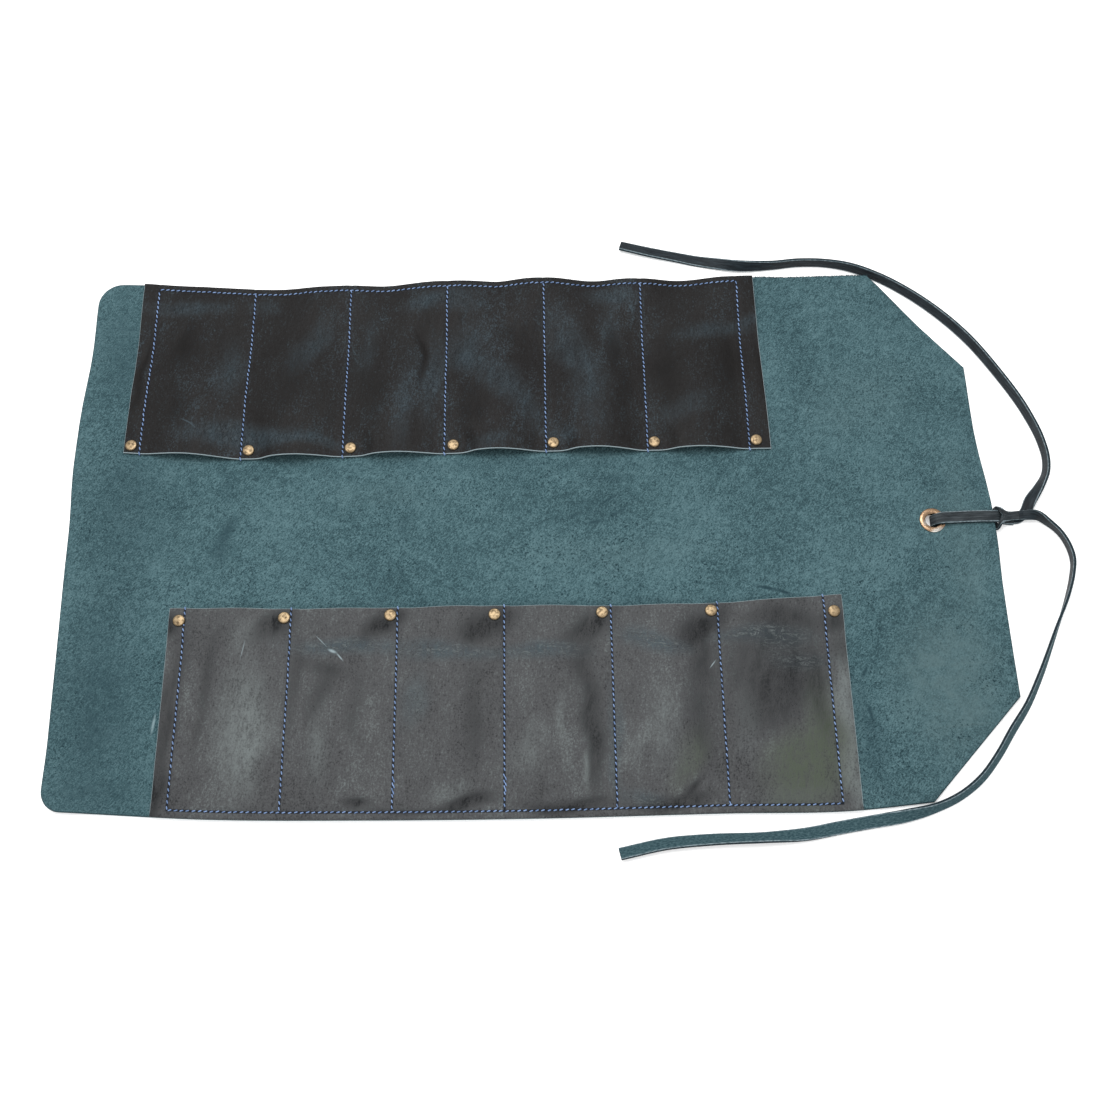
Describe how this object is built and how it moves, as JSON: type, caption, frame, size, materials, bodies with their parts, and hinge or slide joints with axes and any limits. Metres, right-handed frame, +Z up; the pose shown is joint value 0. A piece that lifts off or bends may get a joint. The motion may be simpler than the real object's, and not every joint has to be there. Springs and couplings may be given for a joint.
{
  "type": "tool roll",
  "caption": "Leather tool roll opened flat: rough-side-up body with two facing rows of riveted, stitched pockets and a flat lace tied through an eyelet.",
  "frame": {"origin": "middle of the body panel's box, without the lace, on the surface that the roll lies on", "axes": "+X along the roll towards the laced end, +Y away from the viewer across the roll, +Z up"},
  "size_m": [0.6687, 0.4478, 0.0171],
  "materials": {
    "suede": "matte",
    "pocket_leather": "satin",
    "lace_leather": "satin",
    "rivet_brass": "satin",
    "eyelet_brass": "satin",
    "thread": "satin"
  },
  "bodies": {
    "root": {"body_panel": "suede", "upper_pocket_panel": "pocket_leather", "lower_pocket_panel": "pocket_leather", "upper_rivet_1": "rivet_brass", "upper_rivet_2": "rivet_brass", "upper_rivet_3": "rivet_brass", "upper_rivet_4": "rivet_brass", "upper_rivet_5": "rivet_brass", "upper_rivet_6": "rivet_brass", "upper_rivet_7": "rivet_brass", "lower_rivet_1": "rivet_brass", "lower_rivet_2": "rivet_brass", "lower_rivet_3": "rivet_brass", "lower_rivet_4": "rivet_brass", "lower_rivet_5": "rivet_brass", "lower_rivet_6": "rivet_brass", "lower_rivet_7": "rivet_brass", "eyelet": "eyelet_brass", "lace_loop": "lace_leather", "lace_slit": "lace_leather", "lace_tail_upper": "lace_leather", "lace_tail_lower": "lace_leather"}
  },
  "joints": []
}
